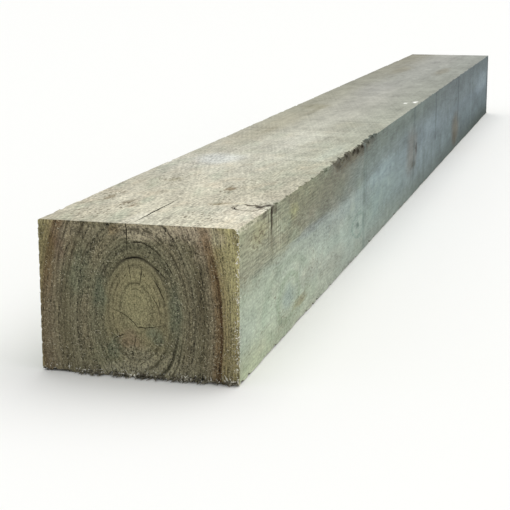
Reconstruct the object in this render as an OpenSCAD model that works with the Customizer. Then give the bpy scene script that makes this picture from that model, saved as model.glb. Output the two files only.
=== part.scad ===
// Railway sleeper: one length of rough-sawn timber, lying on its bed.
// Millimetres, +Z up, +X along the grain. The origin is the middle of the bed.
// The head is the end at -X. The face side is the long side at -Y.

/* [Timber] */
// Length along the grain
length = 2400; // [1500:50:3000]
// Width of the top and the bed
width = 200; // [120:5:300]
// Height from the bed to the top
height = 150; // [90:5:200]

/* [Arrises] */
// Bevel that handling leaves on the four long arrises
arris_bevel = 1.5; // [0.5:0.25:4]

/* [Worn corner] */
// Length of the worn bevel, from the head along the face side's top arris
worn_length = 66; // [20:1:200]
// How far the worn bevel reaches in over the top
worn_in = 4; // [2:0.5:15]
// How far the worn bevel reaches down the face side
worn_down = 7; // [2:0.5:25]

/* [Chipped arris] */
// Distance from the head to the chipped stretch of the same arris
chip_start = 420; // [250:5:700]
// Length of the chipped stretch
chip_length = 245; // [50:5:500]
// How far the chips reach in over the top
chip_in = 2.5; // [1:0.5:10]
// How far the chips reach down the face side
chip_down = 4; // [1:0.5:15]

/* [Hidden] */

// How far a cutter stands clear of the timber it cuts
CLEAR = 1;
// A bevel runs out over this many times its width
RUN_OUT = 3;

head_x = -length / 2;
face_y = -width / 2;

// The sawn section, across the grain, with its four bevelled arrises
module sawn_section() {
    side_y = width / 2;
    polygon([
        [-side_y, arris_bevel],
        [-side_y + arris_bevel, 0],
        [side_y - arris_bevel, 0],
        [side_y, arris_bevel],
        [side_y, height - arris_bevel],
        [side_y - arris_bevel, height],
        [-side_y + arris_bevel, height],
        [-side_y, height - arris_bevel]
    ]);
}

// Lays a section that is drawn in Y and Z along +X
module along_grain(run) {
    rotate([90, 0, 90]) linear_extrude(height = run) children();
}

// Cutter for a flat bevel on the face side's top arris. It has its full width from
// from_head on, for run. Before that it widens over run_in, and after it runs out.
module top_arris_cutter(from_head, run_in, run, reach_in, reach_down) {
    run_end = run + RUN_OUT * reach_in;
    // The cutter's slanted face, carried on past the timber at the same slope
    past_in = CLEAR * reach_in / reach_down;
    past_down = CLEAR * reach_down / reach_in;
    translate([head_x + from_head, face_y, 0])
        intersection() {
            translate([-run_in, 0, 0])
                along_grain(run_in + run_end)
                polygon([
                    [-CLEAR, height - reach_down - past_down],
                    [reach_in + past_in, height + CLEAR],
                    [-CLEAR, height + CLEAR]
                ]);
            linear_extrude(height = height + 2 * CLEAR)
                polygon([
                    [-run_in, -2 * CLEAR],
                    [run_end, -2 * CLEAR],
                    [run_end, 0],
                    [run, reach_in + past_in],
                    [0, reach_in + past_in],
                    [-run_in, 0]
                ]);
        }
}

// The whole sleeper: one sawn piece, worn and chipped along one arris
module sleeper() {
    color("#a9a58f")
        difference() {
            translate([head_x, 0, 0]) along_grain(length) sawn_section();
            top_arris_cutter(-CLEAR, 0, worn_length + CLEAR, worn_in, worn_down);
            top_arris_cutter(chip_start, RUN_OUT * chip_in, chip_length, chip_in, chip_down);
        }
}

sleeper();
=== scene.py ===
"""Looks of a railway sleeper: one length of rough-sawn, pressure-treated pine.

The mesh code works in millimetres in the timber's own directions: along the grain from the
head (the end at -X), across from the middle (the face side is -), and up from the bed.
place() turns such points to the frame's metres. Materials read Object coordinates.
"""

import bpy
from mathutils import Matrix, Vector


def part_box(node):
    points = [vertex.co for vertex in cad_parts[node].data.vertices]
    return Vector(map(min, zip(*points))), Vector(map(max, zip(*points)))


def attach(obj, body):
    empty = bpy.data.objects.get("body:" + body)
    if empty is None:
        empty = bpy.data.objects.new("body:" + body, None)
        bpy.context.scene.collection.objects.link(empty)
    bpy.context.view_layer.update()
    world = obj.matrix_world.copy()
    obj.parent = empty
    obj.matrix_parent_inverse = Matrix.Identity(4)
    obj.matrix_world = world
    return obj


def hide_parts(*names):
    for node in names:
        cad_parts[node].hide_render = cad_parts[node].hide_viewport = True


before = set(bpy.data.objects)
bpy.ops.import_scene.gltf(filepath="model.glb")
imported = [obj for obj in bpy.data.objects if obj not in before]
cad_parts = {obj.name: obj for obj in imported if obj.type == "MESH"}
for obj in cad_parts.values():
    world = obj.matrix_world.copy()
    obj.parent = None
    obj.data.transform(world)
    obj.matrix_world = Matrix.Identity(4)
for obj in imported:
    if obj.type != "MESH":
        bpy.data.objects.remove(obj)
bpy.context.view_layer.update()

import itertools
import math
import random

import bmesh
import bpy
import numpy as np
from mathutils import Vector

MM = 0.001
TIMBER_LOW, TIMBER_HIGH = (np.array(corner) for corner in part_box("sleeper"))
LENGTH, WIDTH, HEIGHT = (TIMBER_HIGH - TIMBER_LOW) / MM
HALF_WIDTH = WIDTH / 2
MIDDLE_Y = (TIMBER_LOW[1] + TIMBER_HIGH[1]) / 2

# The growth rings. The inner ones are ellipses round the pith, taller than wide. The outer
# ones are taller still, and their middle lies further towards the back.
PITH_ACROSS, PITH_UP = 1.5, 72.0
RING_DROP = 0.28  # how far a ring's middle lies below the pith, for each mm of half width
INNER_TALLNESS, OUTER_TALLNESS = 1.62, 2.05
OUTER_SHIFT = 7.0
INNER_END, OUTER_START = 45.0, 93.0  # half widths between which rings change over
ROUGH_MIDDLE = (5.0, 59.0)  # across and up, good enough to tell inner from outer

# The knot that breaks out through the face side's top arris
KNOT = (108.0, -79.0)

# The timber's sides, and the slots of its materials: one for each long side, then these
BED, BACK, TOP, FACE, HEAD, FOOT = SIDES = range(6)
END_GRAIN, SPLIT_WALL, TORN_WOOD, RAISED_FIBRE = range(4, 8)


def place(along, across, up):
    """Points in millimetres along, across and up, as an array of the frame's metres."""
    columns = np.broadcast_arrays(along, across, up)
    local = np.stack([np.asarray(c, float).ravel() for c in columns], 1) * MM
    return local + [TIMBER_LOW[0], MIDDLE_Y, TIMBER_LOW[2]]


# ---------------------------------------------------------------- noise and small helpers

HASH_STEPS = np.array([73856093, 19349663, 83492791], np.int64)


def soft_noise(points, seed):
    """Smooth noise from -1 to 1 at points that are already divided by the grain size."""
    cell = np.floor(points).astype(np.int64)
    part = points - cell
    ease = part * part * (3 - 2 * part)
    total = np.zeros(len(points))
    for corner in itertools.product((0, 1), repeat=3):
        key = (cell + corner) @ HASH_STEPS + seed * 668265263
        key = (key ^ (key >> 13)) * 1274126177 & 0xFFFFFFFF
        key = (key ^ (key >> 16)) * 2246822519 & 0xFFFFFFFF
        value = (key ^ (key >> 15)) / 2**31 - 1
        total += value * np.prod(np.where(corner, ease, 1 - ease), axis=1)
    return total


def smooth_step(value, start, end):
    """0 before start, 1 after end, and an S curve between them."""
    t = np.clip((value - start) / (end - start), 0, 1)
    return t * t * (3 - 2 * t)


def new_mesh(name, vertices, faces):
    mesh = bpy.data.meshes.new(name)
    mesh.from_pydata([tuple(v) for v in vertices], [], faces)
    mesh.validate()
    return mesh


def new_object(name, mesh):
    made = bpy.data.objects.new(name, mesh)
    bpy.context.collection.objects.link(made)
    return made


# ---------------------------------------------------------------- the timber's grid

EDGE_STEPS = (0.35, 0.4, 0.45, 0.6, 0.8, 1.0)  # from an arris inwards
HEAD_CELL = 1.5  # of the grid on the head, which the section's lines repeat
FINE_RINGS, FINE_STEP = 16, 1.2  # first rings, with all of the section's points
RING_STEP, RING_GROWTH = 2.0, 0.022  # spacing of the other rings, and its growth along
STOP_REACH, STOP_ROOM = 0.6, 3.0  # a saw stop's half width, and how near rings may come

# Where the saw was stopped, and how much deeper it then cut the face side
SAW_STOPS = ((650.0, 0.5), (1092.0, -0.45), (1388.0, 0.4), (1705.0, -0.45), (2040.0, 0.3))


def section_lines(size):
    """Grid lines across one side of the section, closer together at its arrises."""
    edge = np.concatenate([[0], np.cumsum(EDGE_STEPS)])
    cells = 2 * round((size - 2 * edge[-1]) / HEAD_CELL / 2)
    middle = np.linspace(edge[-1], size - edge[-1], cells + 1)[1:-1]
    return np.concatenate([edge, middle, size - edge[::-1]])


def ring_lines():
    """Where the rings of the long faces lie, from the head to the foot."""
    edge = list(np.concatenate([[0], np.cumsum(EDGE_STEPS)]))
    lines = list(edge)
    while lines[-1] < LENGTH - edge[-1] - 1.5 * RING_STEP:
        step = RING_STEP if len(lines) > FINE_RINGS else FINE_STEP
        lines.append(lines[-1] + step + RING_GROWTH * lines[-1])
    lines = [x for x in lines if x < LENGTH - 2 * edge[-1]]
    for stop, _ in SAW_STOPS:
        lines = [x for x in lines if abs(x - stop) > STOP_ROOM]
        lines += [stop - STOP_REACH, stop + STOP_REACH]
    foot = [LENGTH - x for x in edge[::-2]]
    return np.array(sorted(lines + foot))


def section_path(columns, rows):
    """(column, row) of each point round the section, from the bed's face-side arris, and
    the side that the path then runs along."""
    bed = [(c, 0) for c in range(columns)]
    back = [(columns, r) for r in range(rows)]
    top = [(c, rows) for c in range(columns, 0, -1)]
    face = [(0, r) for r in range(rows, 0, -1)]
    sides = [BED] * columns + [BACK] * rows + [TOP] * columns + [FACE] * rows
    return bed + back + top + face, sides


def steps_between(last, ring):
    """The faces between two rings, for each step round the second one. The last ring has
    as many points, or twice as many."""
    doubled = len(last) > len(ring)
    for i, point in enumerate(ring):
        following = ring[(i + 1) % len(ring)]
        if doubled:
            a, b, c = last[2 * i], last[2 * i + 1], last[(2 * i + 2) % len(last)]
            yield [[a, b, point], [b, following, point], [b, c, following]]
        else:
            yield [[last[i], last[(i + 1) % len(last)], following, point]]


def timber_grid():
    """Base points of the closed timber, its faces, and the side that each face lies on."""
    ys, zs = section_lines(WIDTH) - HALF_WIDTH, section_lines(HEIGHT)
    points, faces, sides = [], [], []

    def lay(along, places):
        first = len(points)
        points.extend((along, y, z) for y, z in places)
        return list(range(first, len(points)))

    def cap(along, ring, path, columns, rows, side):
        ids = dict(zip(path, ring))
        inner = [(c, r) for c in range(1, len(columns) - 1) for r in range(1, len(rows) - 1)]
        ids.update(zip(inner, lay(along, [(columns[c], rows[r]) for c, r in inner])))
        for c in range(len(columns) - 1):
            for r in range(len(rows) - 1):
                quad = [ids[c, r], ids[c, r + 1], ids[c + 1, r + 1], ids[c + 1, r]]
                faces.append(quad if side == HEAD else quad[::-1])
                sides.append(side)

    fine = (*section_path(len(ys) - 1, len(zs) - 1), ys, zs)
    half = (*section_path((len(ys) - 1) // 2, (len(zs) - 1) // 2), ys[::2], zs[::2])
    last = None
    for number, along in enumerate(ring_lines()):
        path, path_sides, columns, rows = fine if number < FINE_RINGS else half
        ring = lay(along, [(columns[c], rows[r]) for c, r in path])
        if last is None:
            cap(along, ring, path, columns, rows, HEAD)
        else:
            for side, step in zip(path_sides, steps_between(last, ring)):
                faces += step
                sides += [side] * len(step)
        last = ring
    cap(LENGTH, last, path, columns, rows, FOOT)
    return np.array(points), faces, np.array(sides)


# ---------------------------------------------------------------- the timber's relief

# The way in from each side of the timber's block
INWARDS = np.array([(0, 0, 1), (0, -1, 0), (0, 0, -1), (0, 1, 0), (1, 0, 0), (-1, 0, 0)])


def depths(points):
    """How far each point lies inside each side's plane."""
    along, across, up = points.T
    return np.stack([up, HALF_WIDTH - across, HEIGHT - up, across + HALF_WIDTH,
                     along, LENGTH - along], 1)


def bevel(points, side_a, side_b, reach_a, reach_b):
    """Moves the points near an arris onto a bevel. reach_a is how far the bevel comes in
    over side_a, and reach_b over side_b."""
    deep = depths(points)
    slope_a, slope_b = 1 / reach_b, 1 / reach_a
    short = np.clip(1 - deep[:, side_a] * slope_a - deep[:, side_b] * slope_b, 0, None)
    move = short / (slope_a**2 + slope_b**2)
    points += (move * slope_a)[:, None] * INWARDS[side_a]
    points += (move * slope_b)[:, None] * INWARDS[side_b]


def ragged(points, grain, seed, low, high):
    """An uneven reach for a bevel, from low to high, that changes over one grain size."""
    n = soft_noise(points / grain, seed) + 0.5 * soft_noise(points / grain * 2.3, seed + 1)
    return low + (high - low) * np.clip(0.5 + 0.5 * n, 0, 1) ** 2


def between(value, start, end, ease):
    """1 between start and end, easing to 0 over ease outside them."""
    return smooth_step(value, start - ease, start) * (1 - smooth_step(value, end, end + ease))


def ring_width(points):
    """Half width of the growth ring that passes through each point."""
    across, up = points[:, 1], points[:, 2]
    rough = np.hypot(across - ROUGH_MIDDLE[0], (up - ROUGH_MIDDLE[1]) / INNER_TALLNESS)
    outer = smooth_step(rough, INNER_END, OUTER_START)
    middle_across = PITH_ACROSS + OUTER_SHIFT * outer
    middle_up = PITH_UP - RING_DROP * np.minimum(rough, OUTER_START)
    tallness = INNER_TALLNESS + (OUTER_TALLNESS - INNER_TALLNESS) * outer
    return np.hypot(across - middle_across, (up - middle_up) / tallness)


# Stretches of the face side's top arris: from, to, and how far each eases out
WORN_STRETCH = (-10, 66, 14)
CHIPPED_STRETCH = (424, 662, 14)
NICK_SPACING = 12.8  # up the back's end arris, one nick for each bite of the saw


def wear_arrises(points, base):
    """Bevels all twelve edges, each by its own wear."""
    along, _, up = base.T
    handled = ragged(base, (26, 60, 60), 11, 0.5, 3.2)
    worn = between(along, *WORN_STRETCH)
    chipped = between(along, *CHIPPED_STRETCH)
    chips = ragged(base, (22, 80, 80), 12, 0.5, 6.5) + ragged(base, (5, 40, 40), 14, 0, 2.6)
    bevel(points, TOP, FACE,
          handled + 3.4 * worn + chips * chipped * 0.8,
          handled + 6.0 * worn + chips * chipped * 1.3)
    for seed, (a, b) in enumerate([(TOP, BACK), (BED, FACE), (BED, BACK)]):
        reach = ragged(base, (30, 8, 8), 20 + seed, 0.7, 2.4)
        bevel(points, a, b, reach, reach)
    # The bed's end arrises tore as the saw came out, and the top's stayed crisp.
    splintered = ragged(base, (4, 5, 5), 31, 0.4, 2.6)
    bevel(points, BED, HEAD, splintered, 0.6 * splintered)
    bevel(points, BED, FOOT, splintered, 0.6 * splintered)
    crisp = ragged(base, (5, 12, 5), 33, 0.3, 0.8)
    bevel(points, TOP, HEAD, crisp, crisp)
    bevel(points, TOP, FOOT, crisp, crisp)
    bites = np.clip(np.sin(2 * np.pi * up / NICK_SPACING + 0.6), 0, 1)
    nicks = 0.35 + 1.1 * bites**6
    bevel(points, BACK, HEAD, nicks, nicks)
    uneven = ragged(base, (5, 5, 7), 35, 0.3, 1.3)
    bevel(points, FACE, HEAD, uneven, uneven)
    bevel(points, BACK, FOOT, uneven, uneven)
    bevel(points, FACE, FOOT, uneven, uneven)


HARD_RING_SPACING = 4.3  # between the ridges that the hard rings leave on an end
ARRIS_ROOM = 3.0  # relief grows from nothing to its full depth over this


def sink(base, side_of):
    """How deep each point lies below its nominal face: sawing waves, saw stops and the
    end grain's hard and soft rings."""
    along = base[:, 0]
    waves = 0.35 + 0.3 * soft_noise(base / (160, 45, 45), 41)
    waves += 0.12 * soft_noise(base / (30, 14, 14), 42)
    stops = sum(np.where(along > stop, drop, 0) for stop, drop in SAW_STOPS)
    long_face = waves + np.where(side_of == FACE, 0.25 + stops, 0)

    rings = ring_width(base) + 1.3 * soft_noise(base / (60, 26, 34), 43)
    grown = np.abs(np.sin(np.pi * rings / HARD_RING_SPACING)) ** 0.6
    plucked = np.clip(soft_noise(base / (9, 2.1, 3.2), 44) - 0.25, 0, 1)
    rough = 0.5 * soft_noise(base / (9, 1.6, 2.4), 45)
    heart = 1 - smooth_step(rings, 24, 36)
    end = 0.5 + 0.22 * grown + (1.4 * plucked + 0.35 * rough) * (1 - 0.75 * heart)
    return np.where(np.isin(side_of, (HEAD, FOOT)), end, long_face)


def relief(points, base):
    """Sinks each point below its face, less and less towards an arris."""
    deep = depths(base)
    for side in SIDES:
        on_side = deep[:, side] < 1e-6
        others = [other for other in SIDES if other != side]
        room = smooth_step(deep[on_side][:, others].min(1), 0.0, ARRIS_ROOM)
        amount = sink(base[on_side], np.full(on_side.sum(), side)) * room
        points[on_side] += amount[:, None] * INWARDS[side]


# ---------------------------------------------------------------- the bake's UV map

# Each side's strip of the map: left, bottom, width and height, from 0 to 1. The ends get
# far more of it for their size than the long faces, whose figure is drawn out lengthwise.
UV_STRIPS = {
    TOP: (0.004, 0.808, 0.992, 0.188),
    FACE: (0.004, 0.654, 0.992, 0.148),
    BACK: (0.004, 0.518, 0.992, 0.130),
    BED: (0.004, 0.394, 0.992, 0.118),
    HEAD: (0.004, 0.006, 0.540, 0.382),
    FOOT: (0.552, 0.006, 0.400, 0.382),
}
UV_SPLITS = (0.958, 0.006, 0.036, 0.382)
UV_WINDINGS = 7  # across the strip of the splits, from its bottom to its top
HEAD_GAIN = 0.4  # how much larger a long strip's head is drawn than its middle


def strip_places(base, side):
    """Where points lie on the map. The head's part of a long strip is drawn larger than
    the foot's."""
    along, across, up = base.T
    run = along / LENGTH
    run += HEAD_GAIN * run * (1 - run)
    flat, tall = across / WIDTH + 0.5, up / HEIGHT
    pair = {TOP: (run, flat), BED: (run, flat), FACE: (run, tall), BACK: (run, tall),
            HEAD: (flat, tall), FOOT: (flat, tall)}[side]
    left, bottom, width, height = UV_STRIPS[side]
    return np.stack([left + width * pair[0], bottom + height * pair[1]], 1)


def corner_vertices(mesh):
    """The vertex at each corner of a mesh's faces."""
    vertex = np.empty(len(mesh.loops), np.int32)
    mesh.loops.foreach_get("vertex_index", vertex)
    return vertex


def lay_out_map(mesh, base, sides):
    """Gives the mesh the map that its finish is baked through."""
    vertex = corner_vertices(mesh)
    count = np.empty(len(mesh.polygons), np.int32)
    mesh.polygons.foreach_get("loop_total", count)
    side_of = np.repeat(sides, count)
    places = np.zeros((len(vertex), 2), np.float32)
    for side in SIDES:
        chosen = side_of == side
        places[chosen] = strip_places(base[vertex[chosen]], side)
    layer = mesh.uv_layers.new(name="OFBake")
    layer.uv.foreach_set("vector", places.ravel())


# ---------------------------------------------------------------- splits

SWAY = 0.35  # how far a split wanders off its path, to either side
BLADE_TOP = 2.0  # how far a blade stands out of the timber
LEAST_GAPE = 0.05  # a split's width at its tips


def wandering(path, step, seed):
    """A path's points, one every step, each moved aside at random."""
    dice = random.Random(seed)
    points = [np.array(path[0], float)]
    for a, b in zip(path, path[1:]):
        a, b = np.array(a, float), np.array(b, float)
        pieces = max(1, round(np.linalg.norm(b - a) / step))
        aside = np.array([a[1] - b[1], b[0] - a[0]]) / np.linalg.norm(b - a)
        for i in range(1, pieces + 1):
            points.append(a + (b - a) * i / pieces + aside * dice.uniform(-SWAY, SWAY))
    return np.array(points)


def blade(path, width, depth, open_at, step, seed):
    """A closed blade that cuts one split. path holds (u, v) on the face. It is widest at
    open_at along the path, from 0 to 1, and closes to nothing at both tips."""
    line = wandering(path, step, seed)
    dice = random.Random(seed + 1)
    run = np.concatenate([[0], np.cumsum(np.linalg.norm(np.diff(line, axis=0), axis=1))])
    run /= run[-1]
    swell = np.where(run < open_at, run / open_at, (1 - run) / (1 - open_at))
    wide = width * np.clip(swell, 0, 1) ** 0.6
    wide *= [dice.uniform(0.65, 1.2) for _ in run]
    wide = np.maximum(wide, LEAST_GAPE)
    below = depth * np.clip(swell, 0.12, 1) ** 0.5
    ahead = np.gradient(line, axis=0)
    aside = np.stack([-ahead[:, 1], ahead[:, 0]], 1)
    aside /= np.linalg.norm(aside, axis=1)[:, None]
    rows = []
    for side, level, share in ((1, -BLADE_TOP, 1), (-1, -BLADE_TOP, 1),
                               (-1, below, 0.3), (1, below, 0.3)):
        edge = line + aside * (side * share * wide / 2)[:, None]
        rows.append(np.column_stack([edge, np.broadcast_to(level, len(line))]))
    count = len(line)
    starts = [row * count for row in range(4)]
    faces = [[a + i, a + i + 1, b + i + 1, b + i]
             for i in range(count - 1) for a, b in zip(starts, starts[1:] + starts[:1])]
    faces += [starts, [start + count - 1 for start in starts[::-1]]]
    return np.concatenate(rows), faces


# From two directions on a side, and the depth below it, to the frame
FROM_SIDE = {
    HEAD: lambda across, up, deep: place(deep, across, up),
    FOOT: lambda across, up, deep: place(LENGTH - deep, across, up),
    TOP: lambda along, across, deep: place(along, across, HEIGHT - deep),
    BED: lambda along, across, deep: place(along, across, deep),
    FACE: lambda along, up, deep: place(along, deep - HALF_WIDTH, up),
    BACK: lambda along, up, deep: place(along, HALF_WIDTH - deep, up),
}


def arc(centre, radii, start, end):
    """Points every 12 degrees or so along part of an ellipse."""
    turns = np.radians(np.linspace(start, end, max(3, round(abs(end - start) / 12))))
    return [(centre[0] + radii[0] * math.cos(t), centre[1] + radii[1] * math.sin(t))
            for t in turns]


# Each split: its path, its width and depth, and where along the path it gapes most. A path
# is (across, up) on an end, (along, across) on the top and bed, and (along, up) on a side.
HEAD_SPLITS = [
    ([(10.8, 152), (10.4, 138), (10.3, 127), (9.7, 118.4)], 1.3, 18, 0.2),
    ([(9.7, 115.4), (7.7, 103), (6.7, 94), (5.8, 84)], 0.8, 8, 0.3),
    ([(-4.6, 109), (-2.9, 99), (-1.6, 90)], 1.1, 6, 0.4),
    ([(23.5, 101.5), (20.6, 98), (18.2, 94)], 0.8, 4, 0.4),
    ([(-9.5, 62), (-13.8, 64.4), (-18, 66)], 0.8, 4, 0.6),
    ([(-15.8, 97.3), (-21, 88.8), (-24.1, 82.1), (-27.6, 72.8)], 1.4, 8, 0.4),
    ([(-12.8, 82.7), (-17, 76.1), (-20.2, 69.5), (-22, 60)], 1.1, 8, 0.5),
    ([(32.5, 70.3), (20.9, 64.2), (13.7, 61.3), (6.6, 55.7), (1.2, 50), (-6, 49.4),
      (-14.5, 50.5), (-28.7, 53.7)], 1.0, 14, 0.6),
    ([(25.7, 36.7), (19.1, 40.1), (12.5, 42.7)], 1.2, 10, 0.5),
    ([(1.9, 47.6), (3.5, 36.5), (5.8, 26.6), (7.5, 11.2)], 0.8, 8, 0.4),
    ([(0.6, 12.1), (-4.1, 15.1), (-8.4, 16.2)], 1.0, 5, 0.5),
]
# Shakes, where two growth rings of the head have parted
HEAD_SHAKES = [
    ([(20.5, 113), (13.3, 115), (7.5, 116.8), (0.3, 117.6), (-6.8, 115.8), (-12.6, 112)],
     1.5, 6, 0.5),
    ([(-14, 111), (-18.1, 107.8), (-26.5, 100.1), (-30.6, 93)], 1.2, 6, 0.3),
    ([(13.6, 129.8), (8, 130.7), (0.1, 132.1), (-7, 131.1), (-13.4, 127.4), (-19.7, 123.6),
      (-24.5, 118.6)], 1.1, 7, 0.4),
    ([(-25.6, 117.4), (-30.8, 110.7), (-35, 102)], 1.1, 7, 0.7),
    ([(8.6, 143.4), (-1.4, 142.5), (-9, 140.6)], 0.8, 5, 0.5),
    ([(-12, 139.3), (-17, 135.8), (-23, 131.4)], 0.9, 5, 0.5),
    ([(-27, 146), (-34, 139), (-41, 129)], 0.8, 5, 0.4),
    ([(-36, 28), (-32, 17), (-26, 6)], 1.0, 6, 0.5),
    ([(-25, 29), (-21, 19), (-16.4, 11.7)], 0.8, 6, 0.5),
]
FOOT_SPLITS = [
    ([(-8, 70), (-20, 84), (-38, 99), (-55, 118), (-66, 133)], 1.3, 30, 0.5),
    ([(6, 66), (14, 44), (20, 20), (24, -3)], 1.1, 24, 0.8),
    ([(22, 82), (38, 92), (52, 94)], 0.7, 12, 0.4),
    ([(-26, 52), (-34, 38), (-37, 26)], 0.8, 10, 0.5),
]
TOP_SPLITS = [
    ([(8, 5.6), (40, 5.2), (79, 5.0), (119, 4.2), (150, 4.8)], 2.3, 14, 0.4),
    (arc(KNOT, (17.0, 14.0), 62, 172), 2.4, 4, 0.65),
    (arc(KNOT, (15.5, 13.0), -38, 20), 2.6, 4, 0.5),
]
FACE_SPLITS = [
    ([(119.5, 152), (119.0, 143), (120.0, 134), (119.4, 122)], 3.6, 9, 0.15),
    ([(108.0, 146), (108.5, 138), (108.0, 130)], 1.6, 4, 0.3),
]
BACK_SPLITS = [
    ([(330, 84), (470, 86), (640, 83)], 1.6, 14, 0.4),
    ([(1500, 61), (1680, 64), (1905, 62)], 2.0, 16, 0.6),
    ([(2130, 96), (2290, 93), (2404, 95)], 1.8, 22, 0.95),
]
BED_SPLITS = [([(700, 12), (900, 9), (1130, 13)], 1.8, 15, 0.5)]


def join_parts(parts):
    """One list of points and faces from several."""
    points, faces = [], []
    for vertices, polygons in parts:
        first = sum(len(p) for p in points)
        points.append(vertices)
        faces += [[v + first for v in polygon] for polygon in polygons]
    return np.concatenate(points), faces


# The groups of splits that don't cross each other: the side they open on, the splits, and
# the step between their points
SPLIT_GROUPS = [
    (HEAD, HEAD_SPLITS, 2.5), (HEAD, HEAD_SHAKES, 2.5), (FOOT, FOOT_SPLITS, 3.0),
    (TOP, TOP_SPLITS, 6.0), (FACE, FACE_SPLITS, 4.0), (BACK, BACK_SPLITS, 14.0),
    (BED, BED_SPLITS, 14.0),
]


def split_cutters():
    """Every split's blade, group by group."""
    for number, (side, splits, step) in enumerate(SPLIT_GROUPS):
        parts = []
        for seed, split in enumerate(splits, 100 * number):
            corners, faces = blade(*split, step, 2 * seed)
            parts.append((FROM_SIDE[side](*corners.T), faces))
        yield join_parts(parts)


# ---------------------------------------------------------------- bites and torn fibres

def inputs_of(tree, **kinds):
    """Gives a Geometry Nodes tree its named inputs, and returns their sockets by name."""
    for name, kind in kinds.items():
        tree.interface.new_socket(name=name, in_out="INPUT", socket_type="NodeSocket" + kind)
    tree.interface.new_socket(name="Geometry", in_out="OUTPUT",
                              socket_type="NodeSocketGeometry")
    return add(tree, "NodeGroupInput").node.outputs


def realized(tree, instances, material):
    """Ends a tree: the instances made real, in their material."""
    solid = add(tree, "GeometryNodeRealizeInstances", {0: instances})
    worn = add(tree, "GeometryNodeSetMaterial", {"Geometry": solid, "Material": material})
    add(tree, "NodeGroupOutput", {0: worn})


JAG = 0.16  # how far a bite's corners lie off a smooth oval, for a half size of 1
TILT = 0.12  # radians that a bite leans off the grain
ALL_ROUND = 6.3  # radians, a whole turn


def bite_tree():
    """Shards at even steps along a line, drawn out along the grain. They stand for what
    broke off an arris, and are cut out of the timber."""
    tree = bpy.data.node_groups.new("bites along an arris", "GeometryNodeTree")
    given = inputs_of(tree, Start="Vector", End="Vector", Spacing="Float", Gaps="Float",
                      Stray="Vector", Smallest="Vector", Largest="Vector", Seed="Int",
                      Material="Material")
    back = add(tree, "ShaderNodeVectorMath", {0: given["Stray"], 1: (-1, -1, -1)},
               operation="MULTIPLY")
    stray, size, turn, jag = [
        add(tree, "FunctionNodeRandomValue", {0: least, 1: most, "Seed": given["Seed"]},
            data_type="FLOAT_VECTOR")
        for least, most in (
            (back, given["Stray"]), (given["Smallest"], given["Largest"]),
            ((0, -TILT, -TILT), (ALL_ROUND, TILT, TILT)), ((-JAG,) * 3, (JAG,) * 3))]
    gap = add(tree, "FunctionNodeRandomValue",
              {"Probability": given["Gaps"], "Seed": given["Seed"]}, 3, data_type="BOOLEAN")

    line = add(tree, "GeometryNodeCurvePrimitiveLine",
               {"Start": given["Start"], "End": given["End"]})
    steps = add(tree, "GeometryNodeCurveToPoints", {"Curve": line, "Length": given["Spacing"]},
                mode="LENGTH")
    spots = add(tree, "GeometryNodeSetPosition", {"Geometry": steps, "Offset": stray})
    spots = add(tree, "GeometryNodeDeleteGeometry", {"Geometry": spots, "Selection": gap})
    ball = add(tree, "GeometryNodeMeshIcoSphere", {"Radius": 1.0, "Subdivisions": 2})
    shard = add(tree, "GeometryNodeSetPosition", {"Geometry": ball, "Offset": jag})
    shards = add(tree, "GeometryNodeInstanceOnPoints",
                 {"Points": spots, "Instance": shard, "Rotation": turn, "Scale": size})
    realized(tree, shards, given["Material"])
    return tree


def fibre_tree():
    """Thin slivers that lean out of a surface at random."""
    tree = bpy.data.node_groups.new("torn fibres", "GeometryNodeTree")
    given = inputs_of(tree, Geometry="Geometry", Per_Area="Float", Length="Float",
                      Thickness="Float", Least_Lean="Float", Most_Lean="Float", Seed="Int",
                      Material="Material")
    spots = add(tree, "GeometryNodeDistributePointsOnFaces",
                {"Mesh": given["Geometry"], "Density": given["Per_Area"],
                 "Seed": given["Seed"]})
    sliver = add(tree, "GeometryNodeMeshCone",
                 {"Vertices": 3, "Radius Top": 0.0, "Radius Bottom": given["Thickness"],
                  "Depth": given["Length"]})
    least = add(tree, "ShaderNodeCombineXYZ", {"X": given["Least_Lean"], "Z": 0.0})
    most = add(tree, "ShaderNodeCombineXYZ", {"X": given["Most_Lean"], "Z": ALL_ROUND})
    lean = add(tree, "FunctionNodeRandomValue", {0: least, 1: most, "Seed": given["Seed"]},
               data_type="FLOAT_VECTOR")
    turn = add(tree, "FunctionNodeRotateRotation",
               {0: spots.node.outputs["Rotation"], 1: lean}, rotation_space="LOCAL")
    size = add(tree, "FunctionNodeRandomValue", {2: 0.35, 3: 1.0, "Seed": given["Seed"]}, 1,
               data_type="FLOAT")
    slivers = add(tree, "GeometryNodeInstanceOnPoints",
                  {"Points": spots, "Instance": sliver, "Rotation": turn, "Scale": size})
    realized(tree, slivers, given["Material"])
    return tree


def grown(name, mesh, tree, **settings):
    """The plain mesh that a Geometry Nodes tree makes from a mesh."""
    holder = new_object(name, mesh)
    modifier = holder.modifiers.new(name, "NODES")
    modifier.node_group = tree
    sockets = {s.name: s.identifier for s in tree.interface.items_tree
               if s.in_out == "INPUT"}
    for setting, value in settings.items():
        modifier[sockets[setting]] = value
    bake_modifiers(holder)
    made = holder.data
    bpy.data.objects.remove(holder)
    return made


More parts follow.
